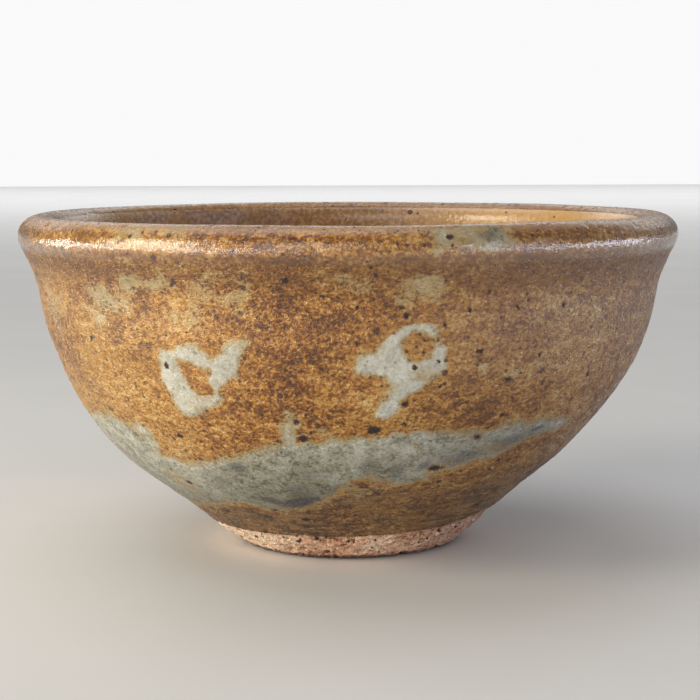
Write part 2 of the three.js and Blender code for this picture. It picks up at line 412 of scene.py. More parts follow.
# The band brushed round the lower belly: (azimuth in degrees, height) of its edges
BAND_TOP = np.array([(-104, 16), (-88, 22), (-70, 27), (-56, 28.5), (-49, 27.2), (-44.5, 22.4), (-38, 21.2),
                     (-30, 22.2), (-23, 23.9), (-15, 25.9), (0, 27.4), (10, 28.3), (17, 28.1), (22, 27.7),
                     (27, 27.3), (32, 28.3), (42, 28.0), (51, 27.2)], float)
BAND_FOOT = np.array([(-104, 13), (-88, 9.5), (-60, 10.5), (-42, 12.2), (-31, 13.9), (-24, 12.8), (-18, 12.4),
                      (-12, 13.2), (-6, 15.1), (-2, 17.5), (2, 19.9), (5, 20.2), (9, 18.9), (13, 18.5),
                      (19, 19), (24, 20.9), (30, 21.9), (36, 22.9), (41, 25.4), (51, 26.2)], float)

# Loose dabs and washes of slip: azimuth in degrees, height, half sizes along and up, strength
SHOULDER_WASH = (-42, 50.4, 9, 3.4, 0.5)
LIP_WASH = (18.4, 61.3, 5.6, 1.8, 0.74)
DABS = (
    LIP_WASH,
    (-37, 53.6, 5.6, 1.9, 0.5),
    (-46, 49.8, 3.4, 3.2, 0.5),
    (-40, 51.2, 6.5, 3.0, 0.3),
    (-65, 47.0, 5.0, 3.4, 0.36),
    (-22, 52.6, 6.0, 2.2, 0.34),
    (-26, 49.6, 2.6, 1.8, 0.36),
    (-35, 62.1, 3.4, 1.0, 0.5),
    (9.5, 53.2, 6.0, 2.4, 0.38),
    (37, 48.6, 9.0, 3.2, 0.2),
    (31, 40.2, 3.4, 1.2, 0.42),
    (-9.6, 30.4, 1.6, 1.8, 0.6),
    (-6.6, 27.8, 3.6, 1.8, 0.45),
    (-10.7, 27.6, 1.7, 2.4, 0.8),
    (-46, 24.5, 3.4, 3.6, 0.8),
    (0.2, 17.2, 3.6, 0.9, 0.65),
)


def along_wall(phi, azimuth):
    turn = (phi - azimuth + math.pi) % (2 * math.pi) - math.pi
    return turn * WALL_RADIUS


def mark_depth(phi, z, azimuth, outline, eye):
    """Distance into a brushed mark but not into its eye, negative outside."""
    x = along_wall(phi, azimuth)
    return np.minimum(signed_distance(x, z, outline), -signed_distance(x, z, eye))


def loop_depth(phi, z):
    return mark_depth(phi, z, LOOP_AZIMUTH, LOOP_OUTLINE, LOOP_EYE)


def ring_depth(phi, z):
    return mark_depth(phi, z, RING_AZIMUTH, RING_OUTLINE, RING_EYE)


def band_depth(phi, z):
    degrees = np.degrees((phi + math.pi) % (2 * math.pi) - math.pi)
    top = np.interp(degrees, *BAND_TOP.T)
    foot = np.interp(degrees, *BAND_FOOT.T)
    ends = np.minimum(degrees - BAND_TOP[0, 0], BAND_TOP[-1, 0] - degrees) * math.radians(1) * BAND_END_RADIUS
    return np.minimum(np.minimum(top - z, z - foot), ends)


def dab_depth(phi, z, dab):
    azimuth, height, half_width, half_height, _ = dab
    x = along_wall(phi, math.radians(azimuth)) / half_width
    y = (z - height) / half_height
    return (1 - np.hypot(x, y)) * min(half_width, half_height)


# Places where the slip is thin and the rust glows through it: azimuth, height, half sizes, how much
THIN = (
    (-16.5, 43.6, 2.6, 1.2, 0.25),
    (-27.5, 33.5, 3.4, 1.6, 0.25),
    (-20.5, 37.0, 2.0, 1.6, 0.3),
    (6.0, 36.4, 3.0, 1.9, 0.6),
    (12.5, 39.2, 2.8, 1.6, 0.4),
    (14.6, 46.2, 1.4, 2.0, 0.4),
    (3.6, 33.4, 1.6, 1.0, 0.35),
    (20.5, 20.4, 3.4, 1.5, 0.55),
    (18.4, 61.3, 3.5, 1.2, 0.3),
    (33.0, 24.2, 6.0, 1.0, 0.4),
    (-46.0, 17.0, 5.0, 3.0, 0.35),
)


def slip_thinness(phi, z):
    thin = np.zeros(np.broadcast(phi, z).shape)
    for azimuth, height, half_width, half_height, amount in THIN:
        away = np.hypot(along_wall(phi, math.radians(azimuth)) / half_width, (z - height) / half_height)
        thin = np.maximum(thin, amount * smoothstep(1.4, 0.4, away))
    return thin


def slip_cover(phi, z, edge_noise, wander):
    """How much pale slip lies on the wall, 0 to 1, and how near its edge is on the outside."""
    ragged = 0.5 * edge_noise
    loop = loop_depth(phi, z) + ragged
    ring = ring_depth(phi, z) + ragged
    band = band_depth(phi, z) + 1.6 * ragged
    cover = np.maximum(smoothstep(-1.0, 1.3, loop), smoothstep(-1.0, 1.3, ring))
    cover = np.maximum(cover, 0.95 * smoothstep(-1.9, 1.3, band))
    for dab in DABS:
        loose = 1 - dab[4]
        depth = dab_depth(phi, z, dab) + 1.5 * ragged + 7 * loose * wander
        cover = np.maximum(cover, dab[4] * smoothstep(-1.2 - 2 * loose, 1.4 + loose, depth))
    cover = cover * (1 - slip_thinness(phi, z))
    near = np.maximum(np.maximum(loop, ring), band)
    return cover, near


# Darker blue-grey strokes in the slip: azimuth in degrees, height, half sizes, slope, strength
STROKES = (
    (-23.6, 21.6, 3.1, 1.5, 0.0, 0.75),
    (-30.2, 18.8, 2.8, 1.4, 0.0, 0.6),
    (-12.1, 14.4, 7.0, 1.6, 0.14, 1.8),
    (-19.5, 14.8, 4.5, 1.1, -0.2, 0.9),
    (-10.7, 17.1, 5.0, 2.4, 0.0, 0.5),
    (-1.2, 17.6, 3.0, 1.5, 0.25, 0.75),
    (5.3, 22.1, 3.2, 2.8, 0.0, 0.55),
    (11.1, 21.2, 2.6, 2.3, 0.0, 0.65),
    (25.0, 22.6, 7.5, 2.4, 0.14, 0.62),
    (35.0, 24.8, 6.5, 2.0, 0.2, 0.62),
    (17.0, 21.8, 2.6, 1.5, 0.3, 0.6),
    (22.0, 24.0, 8.0, 2.0, 0.05, 0.35),
    (41.5, 26.9, 3.0, 0.7, 0.12, 0.8),
    (0.2, 17.2, 3.4, 0.9, 0.1, 0.9),
    (-3.0, 24.0, 9.0, 1.6, 0.0, 0.25),
    (-8.0, 21.0, 6.0, 2.0, 0.0, 0.3),
    (21.0, 61.6, 2.4, 1.2, 0.0, 0.8),
)


def cobalt_stain(phi, z):
    phi, z = np.broadcast_arrays(phi, z)
    stain = np.zeros(phi.shape)
    for azimuth, height, half_width, half_height, slope, strength in STROKES:
        x = along_wall(phi, math.radians(azimuth))
        near = np.hypot(x / half_width, (z - height - slope * x) / half_height)
        stain = np.maximum(stain, strength * smoothstep(1.2, 0.3, near))
    return stain


def halo_near(near):
    """The warm line that the glaze fires to just outside the slip."""
    return np.exp(-((near + 0.9) / 0.6) ** 2)


# -------- relief of the outer wall

def outside_form(phi, s):
    """The wall's undulations by hand: shared by the coat and everything laid on it."""
    radius, z = skin.at(s)
    place = turned(phi, radius, z)
    slow = 0.28 * noise(place / 34, 11)
    rings = 0.10 * noise(place * np.array([1 / 50, 1 / 50, 1 / 4.2]), 12)
    fine_rings = 0.05 * noise(place * np.array([1 / 24, 1 / 24, 1 / 1.7]), 13)
    on_roll = smoothstep(skin.crest - 11, skin.crest - 7, s)
    return slow * (1 - 0.5 * on_roll) + rings + fine_rings * (1 - 0.6 * on_roll)


def outside_surface(phi, s):
    """Lift of the outer glaze off the skin, with the slip cover and its nearness."""
    radius, z = skin.at(s)
    place = turned(phi, radius, z)
    edge_noise = noise(place / 1.7, 21) + 0.6 * noise(place / 0.8, 22)
    cover, near = slip_cover(phi, z, edge_noise, noise(place / 4, 23))
    on_roll = smoothstep(skin.crest - ROLL_REACH, skin.crest - ROLL_REACH / 2, s)
    coarse = (1 - 0.75 * cover) * (1 - 0.6 * on_roll)
    grain = 0.085 * noise(place / 1.5, 31) + 0.05 * noise(place / 0.95, 32)
    pits = -0.2 * smoothstep(0.42, 0.62, noise(place / 1.5, 33))
    return outside_form(phi, s) + coarse * grain + (1 - 0.5 * cover) * pits, cover, near


def outside_point(azimuth_deg, z):
    """Where a height on the outside is in space, relief included, for one azimuth."""
    phi = np.array([math.radians(azimuth_deg)])
    s = np.array([float(skin.s_outside(z))])
    lift, _, _ = outside_surface(phi, s)
    return skin_place(phi, s, lift)[0]


# -------- meshes

def make_piece(name, points_mm, faces, values, material):
    """A smooth mesh object from points in millimetres, with named values at its points."""
    mesh = bpy.data.meshes.new(name)
    mesh.from_pydata((points_mm * MM).tolist(), [], faces)
    mesh.polygons.foreach_set("use_smooth", [True] * len(mesh.polygons))
    for key, amounts in values.items():
        layer = mesh.attributes.new(key, "FLOAT", "POINT")
        layer.data.foreach_set("value", np.asarray(amounts, np.float32).ravel())
    mesh.update()
    mesh.materials.append(material)
    return add_object(name, mesh)


def grid_faces(rows, columns, close_rows):
    """Quads of a grid that wraps round in its columns, and in its rows too if close_rows."""
    row = np.arange(rows if close_rows else rows - 1)[:, None]
    column = np.arange(columns)[None, :]
    next_row = (row + 1) % rows
    next_column = (column + 1) % columns
    corners = (row * columns + column, row * columns + next_column,
               next_row * columns + next_column, next_row * columns + column)
    return np.stack(corners, axis=-1).reshape(-1, 4).tolist()


def stations(*spans):
    """Places along a section, as a column, from (start, end, count) spans that meet."""
    rows = [np.linspace(*span)[min(index, 1):] for index, span in enumerate(spans)]
    return np.concatenate(rows)[:, None]


def angles(columns):
    """Angles all the way round, as a row."""
    return np.linspace(0, 2 * math.pi, columns, endpoint=False)[None, :]


def ring_piece(name, rows, values, material):
    """A closed ring from a (rows, columns, 3) grid whose last row meets its first."""
    count, columns, _ = rows.shape
    return make_piece(name, rows.reshape(-1, 3), grid_faces(count, columns, True), values, material)


def capped_piece(name, rows, material):
    """A closed body from a grid whose first and last rows are tiny rings round the axis."""
    count, columns, _ = rows.shape
    points = np.vstack([rows.reshape(-1, 3), rows[0].mean(axis=0), rows[-1].mean(axis=0)])
    first_centre = count * columns
    last_row = (count - 1) * columns
    faces = grid_faces(count, columns, False)
    for column in range(columns):
        after = (column + 1) % columns
        faces.append([first_centre, after, column])
        faces.append([last_row + column, last_row + after, first_centre + 1])
    return make_piece(name, points, faces, {}, material)


def above_glaze_line(phi, rise):
    """Rises along the skin, counted from the uneven line where the outer coat stops."""
    circle = turned(phi, FOOT_TOP_RADIUS, 0.0)
    higher = GLAZE_LINE_RISE * smoothstep(0.5, 1.5, phi) * smoothstep(2.9, 2.2, phi)
    line = GLAZE_LINE + higher + 0.4 * noise(circle / 11, 41) + 0.2 * noise(circle / 3.5, 42)
    return rise + line * np.exp(-rise / GLAZE_LINE_FADE)


def build_outer_coat(material):
    phi = angles(OUTER_COLUMNS)
    over_lip = skin.crest + OUTER_COAT_OVERLAP
    roll_foot = skin.crest - ROLL_REACH
    rise = stations((0, roll_foot, 86), (roll_foot, over_lip, 32))
    s = above_glaze_line(phi, rise)
    lift, cover, near = outside_surface(phi, s)
    bead = 0.16 * np.exp(-((rise - 1.0) / 0.9) ** 2)
    rounded = -COAT_DIVE * (1 - smoothstep(-0.2, 0.5, rise))
    dive = -COAT_DIVE * smoothstep(over_lip - 2.2, over_lip, s)
    top = skin_place(phi, s, lift + bead + rounded + dive)
    under_s = above_glaze_line(phi, stations((over_lip - 0.3, 0.4, 14)))
    under = skin_place(phi, under_s, outside_form(phi, under_s) - GLAZE)
    rows = np.concatenate([top, under])
    blank = np.zeros(under.shape[:2])
    values = {
        "slip": np.concatenate([cover, blank]),
        "halo": np.concatenate([halo_near(near), blank]),
        "cobalt": np.concatenate([cobalt_stain(phi, skin.at(s)[1]), blank]),
    }
    return ring_piece("outer_glaze_coat", rows, values, material)


def inside_surface(phi, s):
    """Lift of the inner glaze off the skin: finger ridges that wind down into the well."""
    radius, z = skin.at(s)
    place = turned(phi, radius, z)
    down = s - skin.crest
    wander = 1.2 * noise(place / 30, 51)
    ridges = RIDGE_HEIGHT * np.sin(2 * math.pi * (down / RIDGE_PITCH - phi / (2 * math.pi)) + wander)
    ridges = ridges * smoothstep(7, 14, down) * smoothstep(1.5, 7, radius)
    slow = 0.25 * noise(place / 30, 52)
    grain = 0.035 * noise(place / 1.4, 53)
    pits = -0.14 * smoothstep(0.5, 0.66, noise(place / 1.5, 54))
    return (slow + ridges) * smoothstep(0, 3, radius) + grain + pits


def build_inner_coat(material):
    phi = angles(INNER_COLUMNS)
    start = skin.crest + OUTER_COAT_OVERLAP - COAT_LAP
    well_edge = skin.end - WELL_RADIUS
    axis = skin.end - AXIS_GAP
    s = stations((start, well_edge, 92), (well_edge, axis, 16))
    dive = -COAT_DIVE * (1 - smoothstep(start, start + 2.4, s))
    blend = smoothstep(start + 2, start + 9, s)
    top_lift = inside_surface(phi, s) * blend + outside_form(phi, s) * (1 - blend)
    top = skin_place(phi, s, top_lift + dive)
    under_s = stations((axis, well_edge, 5), (well_edge, start + 0.3, 20))
    under = skin_place(phi, under_s, -GLAZE - INNER_DEEPER)
    return capped_piece("inner_glaze_coat", np.concatenate([under, top]), material)


def section_rows(spans):
    """Profile points from (points, steps) spans, each a smooth curve joined to the next."""
    rows = [catmull_rom(points, steps)[:-1] for points, steps in spans]
    return np.vstack(rows + [np.array(spans[-1][0][-1:], float)])


def build_clay_wall(material):
    """The clay between the glazes, with its bare underside inside the foot."""
    phi = angles(CLAY_COLUMNS)
    radius = stations((AXIS_GAP, UNDERSIDE_RADIUS, 44))
    place = turned(phi, radius, FOOT_HEIGHT)
    groove = GROOVE_DEPTH * np.sin(2 * math.pi * (radius / GROOVE_PITCH - phi / (2 * math.pi)))
    rough = 0.12 * noise(place / 1.6, 61) + 0.1 * noise(place / 5, 62)
    underside = hand_thrown(turned(phi, radius, FOOT_HEIGHT + (groove + rough) * smoothstep(0.5, 4, radius)))
    wall = skin_place(phi, stations((CLAY_START, skin.end - AXIS_GAP, 110)), -CLAY_DEPTH)
    return capped_piece("clay_wall", np.concatenate([underside, wall]), material)


def build_foot(material):
    """The turned foot: worn land, bevelled edge, flared side running up under the glaze."""
    phi = angles(FOOT_COLUMNS)
    land_inner = (RECESS_RADIUS + 0.3, 0)
    land_outer = (FOOT_BASE_RADIUS - 0.6, 0)
    recess_top = (RECESS_RADIUS - 0.9, 6.4)
    profile = section_rows([
        ([land_inner, (17.5, 0), land_outer], 7),
        ([land_outer, (FOOT_BASE_RADIUS + 0.2, 0.16), (21.2, 0.62), (22.9, 1.9), (25.2, 3.8),
          (26.6, 5.35), (27.5, 6.35), (29.2, 7.75), FLARE_END], 8),
        ([FLARE_END, (28.4, 8.9), (24, 7.6), (18, 7.4), recess_top], 3),
        ([recess_top, (RECESS_RADIUS - 0.8, 4), (RECESS_RADIUS - 0.6, 1.6),
          (RECESS_RADIUS - 0.3, 0.4), land_inner], 5),
    ])[:-1]
    radius, z = profile[:, :1], profile[:, 1:]
    along = np.roll(profile, -1, axis=0) - np.roll(profile, 1, axis=0)
    along = along / np.hypot(*along.T)[:, None]
    place = turned(phi, radius, z)
    scored = 0.06 * noise(place * np.array([1 / 12, 1 / 12, 1 / 0.8]), 71)
    grog = 0.3 * np.clip(noise(place, 72), -0.2, 1) + 0.12 * noise(place / 0.6, 73)
    pits = -0.6 * smoothstep(0.24, 0.46, noise(place / 1.25, 74))
    slow = 0.3 * noise(place / 14, 75)
    bare = smoothstep(9.0, 8.0, z) * smoothstep(28.6, 27.4, radius)
    shown = np.maximum(bare, 0.35 * smoothstep(9.2, 8.6, z))
    lift = (scored + grog + pits + slow * smoothstep(0, 2.5, z)) * shown
    rows = turned(phi, radius + lift * along[:, 1:], np.maximum(z - lift * along[:, :1], 0))
    return ring_piece("turned_foot", hand_thrown(rows), {}, material)


def sheet_grid(azimuth, reach, heights, depth, step):
    """A grid over the wall: its angles, its heights, the cells kept and the points they use."""
    across = np.arange(-reach[0], reach[1] + step, step)
    up = np.arange(heights[0], heights[1] + step, step)
    x, z = np.meshgrid(across, up)
    inward = depth(azimuth + x / WALL_RADIUS, z)
    keep = inward > -SLIP_SKIRT
    cells = keep[:-1, :-1] & keep[:-1, 1:] & keep[1:, 1:] & keep[1:, :-1]
    around = np.zeros(x.shape, int)
    for row, column in itertools.product((0, 1), repeat=2):
        around[row:row + cells.shape[0], column:column + cells.shape[1]] += cells
    # Pull the outline's stair-steps onto the line where the skirt ends
    slope_z, slope_x = np.gradient(inward, step)
    steep = np.maximum(slope_x ** 2 + slope_z ** 2, 0.2)
    edge = (around > 0) & (around < 4)
    move = np.where(edge, np.clip((-SLIP_SKIRT - inward) / steep, -step, step), 0)
    return azimuth + (x + move * slope_x) / WALL_RADIUS, z + move * slope_z, cells, around > 0


def sheet_faces(cells, used):
    """The top and the underside over the cells kept, and the side wall that joins them."""
    total = int(used.sum())
    number = np.full(used.shape, -1)
    number[used] = np.arange(total)
    row, column = np.nonzero(cells)
    quads = np.stack([number[row, column], number[row, column + 1],
                      number[row + 1, column + 1], number[row + 1, column]], axis=1)
    faces = quads.tolist() + (quads[:, ::-1] + total).tolist()
    sides = np.concatenate([quads[:, [i, (i + 1) % 4]] for i in range(4)])
    directed = set(map(tuple, sides.tolist()))
    return faces + [[b, a, a + total, b + total] for a, b in directed if (b, a) not in directed]


def slip_sheet(name, azimuth, reach, heights, depth, step, material, rise=SLIP_RISE):
    """A thin sheet of slip: proud of the glaze in the middle, its edge sunk under the glaze.

    It reaches so far to the left and right of an azimuth, between two heights.
    """
    phi, z, cells, used = sheet_grid(azimuth, reach, heights, depth, step)
    s = skin.s_outside(z)
    lift, cover, near = outside_surface(phi, s)
    inward = depth(phi, z)
    crown = rise * smoothstep(-0.4, 1.0, inward) - SLIP_SINK * (1 - smoothstep(-0.9, 0.3, inward))
    top = skin_place(phi, s, lift + crown)
    under = skin_place(phi, s, outside_form(phi, s) - GLAZE)
    values = {"slip": cover[used], "halo": halo_near(near)[used], "cobalt": cobalt_stain(phi, z)[used]}
    doubled = {key: np.concatenate([amounts, amounts]) for key, amounts in values.items()}
    points = np.concatenate([top[used], under[used]])
    return make_piece(name, points, sheet_faces(cells, used), doubled, material)


def build_slip(material):
    band_middle = math.radians((BAND_TOP[0, 0] + BAND_TOP[-1, 0]) / 2)
    band_reach = math.radians((BAND_TOP[-1, 0] - BAND_TOP[0, 0]) / 2) * WALL_RADIUS + 2
    return {
        "slip_mark_left": slip_sheet(
            "brushed_loop", LOOP_AZIMUTH, (11, 11), (29, 47), loop_depth, MARK_STEP, material),
        "slip_mark_right": slip_sheet(
            "brushed_ring", RING_AZIMUTH, (11, 8), (29, 50), ring_depth, MARK_STEP, material),
        "slip_band": slip_sheet(
            "brushed_band", band_middle, (band_reach, band_reach), (8, 31), band_depth, BAND_STEP, material),
        "slip_patch_shoulder": slip_sheet(
            "shoulder_wash", math.radians(SHOULDER_WASH[0]), (11, 11), (45, 56),
            lambda phi, z: dab_depth(phi, z, SHOULDER_WASH), BAND_STEP, material, WASH_RISE),
        "slip_patch_lip": slip_sheet(
            "lip_wash", math.radians(LIP_WASH[0]), (7.5, 7.5), (58, 62.6),
            lambda phi, z: dab_depth(phi, z, LIP_WASH), FINE_STEP, material, WASH_RISE),
    }


# -------- shader building

SPECK_EDGE = 0.07


class Shader:
    """A node material, with short ways to add the nodes used here. Vectors are in millimetres."""

    def __init__(self, name):
        self.material = bpy.data.materials.new(name)
        self.material.use_nodes = True
        self.tree = self.material.node_tree
        self.tree.nodes.clear()
        self.surface = self.tree.nodes.new("ShaderNodeBsdfPrincipled")
        output = self.tree.nodes.new("ShaderNodeOutputMaterial")
        self.tree.links.new(self.surface.outputs["BSDF"], output.inputs["Surface"])

    def feed(self, socket, value):
        if isinstance(value, bpy.types.NodeSocket):
            self.tree.links.new(value, socket)
        else:
            socket.default_value = value

    def add(self, kind, inputs, **settings):
        node = self.tree.nodes.new(kind)
        for key, value in settings.items():
            setattr(node, key, value)
        for key, value in inputs.items():
            self.feed(node.inputs[key], value)
        return node

    def place(self, stretch=(1, 1, 1)):
        where = self.add("ShaderNodeTexCoord", {}).outputs["Object"]
        scale = tuple(part / MM for part in stretch)
        return self.offset("MULTIPLY", where, scale)

    def noise(self, vector, size, detail=2.0, roughness=0.5, distortion=0.0):
        inputs = {"Vector": vector, "Scale": 1 / size, "Detail": detail, "Roughness": roughness,
                  "Distortion": distortion}
        return self.add("ShaderNodeTexNoise", inputs).outputs["Fac"]

    def cells(self, vector, size):
        node = self.add("ShaderNodeTexVoronoi", {"Vector": vector, "Scale": 1 / size})
        return node.outputs["Distance"], node.outputs["Color"]

    def maths(self, operation, first, second=0.0):
        return self.add("ShaderNodeMath", {0: first, 1: second}, operation=operation).outputs[0]

    def times(self, first, *others):
        for other in others:
            first = self.maths("MULTIPLY", first, other)
        return first

    def most(self, first, *others):
        for other in others:
            first = self.maths("MAXIMUM", first, other)
        return first

    def centred(self, pattern):
        """A pattern about 0 instead of about a half."""
        return self.maths("SUBTRACT", pattern, 0.5)

    def blend_sum(self, *parts):
        """Adds (weight, value) pairs."""
        total = self.times(parts[0][1], parts[0][0])
        for weight, value in parts[1:]:
            total = self.maths("ADD", total, self.times(value, weight))
        return total

    def remap(self, value, low, high, to_low=0.0, to_high=1.0):
        inputs = {"Value": value, "From Min": low, "From Max": high, "To Min": to_low, "To Max": to_high}
        return self.add("ShaderNodeMapRange", inputs, interpolation_type="SMOOTHSTEP").outputs["Result"]

    def ramp(self, value, stops):
        node = self.add("ShaderNodeValToRGB", {"Fac": value})
        elements = node.color_ramp.elements
        while len(elements) < len(stops):
            elements.new(0.5)
        for element, (position, colour) in zip(elements, stops):
            element.position = position
            element.color = colour
        return node.outputs["Color"]

    def mix(self, amount, first, second, blend="MIX"):
        node = self.tree.nodes.new("ShaderNodeMix")
        node.data_type = "RGBA"
        node.blend_type = blend
        self.feed(node.inputs["Factor"], amount)
        self.feed(node.inputs[6], first)
        self.feed(node.inputs[7], second)
        return node.outputs[2]

    def darkened(self, amount, colour, shade):
        return self.mix(amount, colour, self.mix(1.0, colour, shade, "MULTIPLY"))

    def specks(self, place, size, radius, shift=(0, 0, 0), share=0.8):
        """Scattered crisp specks: one in a share of the cells, of varied size, in millimetres."""
        distance, colour = self.cells(self.offset("ADD", place, shift), size)
        varied = self.remap(self.axis(colour, "Y"), 0, 1, 0.4 * radius / size, radius / size)
        inside = self.maths("SUBTRACT", varied, distance)
        chosen = self.maths("LESS_THAN", self.axis(colour, "X"), share)
        return self.times(self.remap(inside, -SPECK_EDGE / size, SPECK_EDGE / size), chosen)

    def value_at_points(self, name):
        return self.add("ShaderNodeAttribute", {}, attribute_name=name).outputs["Fac"]

    def axis(self, vector, letter):
        return self.add("ShaderNodeSeparateXYZ", {0: vector}).outputs[letter]

    def offset(self, operation, vector, by):
        return self.add("ShaderNodeVectorMath", {0: vector, 1: by}, operation=operation).outputs[0]

    def bump(self, height, depth_mm):
        inputs = {"Height": height, "Distance": depth_mm * MM, "Strength": 1.0}
        return self.add("ShaderNodeBump", inputs).outputs["Normal"]

    def give(self, socket, value):
        self.feed(self.surface.inputs[socket], value)

    def finish(self, colour, roughness, normal):
        self.give("Base Color", colour)
        self.give("Roughness", roughness)
        self.give("Normal", normal)
        return self.material


# -------- materials

# Iron spots burnt through the glaze: azimuth in degrees, height, radius, flatness
IRON_SPOTS = (
    (-9.6, 54.7, 0.75, 1.2), (-4, 52.1, 0.55, 1), (-32.4, 39.7, 0.85, 0.6), (-50.4, 43, 0.6, 1),
    (5.1, 29.2, 1.15, 1.5), (9.9, 33.7, 0.7, 1.1), (10.6, 30.2, 0.5, 1.2), (-9.1, 30.8, 0.65, 1),
    (-7.3, 32, 0.42, 1), (-8, 27.7, 0.95, 1.5), (-6.5, 28.9, 0.38, 1), (-34.5, 27, 0.8, 1),
    (-26.2, 29.5, 0.4, 1), (-28, 28.3, 0.42, 1.6), (-42.4, 17, 0.7, 1.5), (-21.2, 12.4, 0.6, 1.6),
    (-13.1, 10.2, 0.9, 2), (22.3, 18, 0.5, 1.2), (36.2, 21, 0.5, 1), (39.8, 20.6, 0.5, 1),
    (35.2, 19.3, 0.5, 1.2), (30.1, 30.5, 0.65, 1), (28.5, 37.3, 0.75, 1.3), (48.7, 36.4, 0.6, 1),
    (65.2, 38.3, 0.5, 1), (27.8, 49.7, 0.42, 1), (22.3, 52.5, 0.45, 1), (19.4, 49.4, 0.5, 1),
    (8.3, 50.1, 0.45, 1.2), (9, 48.8, 0.6, 1), (4.1, 55.4, 0.5, 1), (1.3, 50.2, 0.45, 1),
    (1.3, 44.4, 0.5, 1.1), (12.2, 44.7, 0.45, 1), (10.8, 40.2, 0.6, 1), (14.8, 41.1, 0.42, 1),
    (15.4, 47.1, 0.5, 1), (21.9, 42.5, 0.6, 1.2), (33.9, 41.1, 0.55, 0.8), (47.5, 31.8, 0.5, 1),
    (15.7, 36.8, 0.42, 1), (15, 61.4, 0.6, 1.3), (37.3, 49.4, 0.5, 1), (-33.5, 22.5, 0.45, 0.5),
    (26.5, 26.7, 0.75, 1.6), (19.6, 21, 0.95, 2.0), (-44.5, 19.6, 0.5, 0.6), (-12.9, 27.1, 0.5, 1.8),
)

GLAZE_IOR = 1.62
LIP_COAT_ROUGHNESS = 0.13
SPOT_TRIM = 0.78

# Colours by how high a pattern stands, from its hollows up
RUST_TONES = (
    (0.485, srgb(76, 40, 8)), (0.555, srgb(120, 72, 20)), (0.605, srgb(158, 105, 37)),
    (0.665, srgb(188, 140, 68)), (0.75, srgb(218, 184, 126)),
)
SLIP_TONES = (
    (0.41, srgb(98, 96, 78)), (0.47, srgb(140, 138, 120)), (0.54, srgb(166, 166, 150)),
    (0.63, srgb(206, 205, 192)),
)
STAIN_TONES = ((0.42, srgb(38, 40, 48)), (0.62, srgb(106, 110, 118)))
VEIL_TONES = ((0.38, srgb(150, 124, 118)), (0.62, srgb(200, 176, 172)))
CLAY_TONES = (
    (0.40, srgb(132, 82, 54)), (0.46, srgb(206, 152, 118)), (0.53, srgb(236, 190, 156)),
    (0.62, srgb(255, 230, 202)),
)
FLOOR_TONES = ((0.3, (0.69, 0.69, 0.69, 1)), (0.7, (0.72, 0.72, 0.72, 1)))


def spot_distance(shader, place, wobble):
    """Distance in millimetres to the nearest iron spot's rim, negative inside."""
    nearest = None
    for azimuth, z, radius, flatness in IRON_SPOTS:
        offset = shader.offset("SUBTRACT", place, tuple(outside_point(azimuth, z)))
        if flatness != 1:
            offset = shader.offset("MULTIPLY", offset, (1 / flatness, 1 / flatness, 1))
        length = shader.add("ShaderNodeVectorMath", {0: offset}, operation="LENGTH").outputs["Value"]
        rim = shader.maths("SUBTRACT", length, SPOT_TRIM * radius / max(flatness, 1) ** 0.5)
        nearest = rim if nearest is None else shader.maths("MINIMUM", nearest, rim)
    return shader.maths("ADD", nearest, wobble)


def rust_colour(shader, place, grain, streak, cloud):
    """The granular rust glaze: burnt specks, rust, gold and pale crusts over slow clouds."""
    colour = shader.ramp(shader.blend_sum((0.7, grain), (0.25, streak), (0.25, cloud)), RUST_TONES)
    # The left fired to a pale straw colour. The right is a duller, more grey pink: partly the glaze's own
    # colour and partly painted shade.
    across, height = shader.axis(place, "X"), shader.axis(place, "Z")
    straw = shader.times(shader.remap(across, -14, -58), shader.remap(cloud, 0.36, 0.6, 0.25, 0.8))
    colour = shader.mix(straw, colour, shader.mix(0.5, colour, srgb(172, 140, 76)))
    greyer_and_shaded = shader.times(shader.remap(across, -8, 34), shader.remap(height, 22, 44),
                          shader.remap(cloud, 0.3, 0.6, 0.5, 1.0))
    return shader.mix(greyer_and_shaded, colour, shader.mix(0.5, colour, srgb(112, 86, 68)))


def wall_rust(shader, place, grain, streak, cloud, low):
    """The outside's rust: flecked and streaked, wheel-marked low down, with a painted shadow under the lip,
    where the glaze also runs thicker, and a painted sheen on the crest.
    """
    height = shader.axis(place, "Z")
    rust = rust_colour(shader, place, grain, streak, cloud)
    rust = shader.darkened(shader.times(low, 0.6), rust, srgb(150, 148, 128))
    flecks = shader.specks(place, 1.3, 0.3, (3.1, 5.7, 9.2), 0.7)
    rust = shader.mix(shader.times(flecks, 0.5), rust, srgb(206, 166, 106))
    burnt_streaks = shader.noise(shader.place((1, 1, 2.4)), 2.6, 4.0, 0.7)
    rust = shader.mix(shader.remap(burnt_streaks, 0.55, 0.66, 0.0, 0.45), rust, srgb(112, 64, 16))
    dark_lines = shader.noise(shader.place((1, 1, 6)), 8.0, 3.0, 0.65)
    dark_lines = shader.times(shader.remap(dark_lines, 0.52, 0.6, 0.0, 0.9), low)
    rust = shader.mix(dark_lines, rust, srgb(64, 40, 16))
    pale_lines = shader.noise(shader.place((1, 1, 4)), 6.0, 3.0, 0.6)
    pale_lines = shader.times(shader.remap(pale_lines, 0.47, 0.38, 0.0, 0.6), low)
    rust = shader.mix(pale_lines, rust, srgb(148, 112, 62))
    # Painted shadow under the roll of the lip, partly a thicker, darker glaze there
    under_lip_shadow_and_pooling = shader.times(shader.remap(height, 51, 55.5), shader.remap(height, 59.4, 57.8, 0.0, 0.55))
    rust = shader.mix(under_lip_shadow_and_pooling, rust, srgb(92, 56, 16))
    rust = shader.mix(shader.times(shader.value_at_points("halo"), 0.22), rust, srgb(190, 132, 50))
    # Painted sheen: the crest of the lip is lighter towards its top
    return shader.mix(shader.remap(height, 61.6, 62.9, 0.0, 0.55), rust, srgb(186, 150, 116))


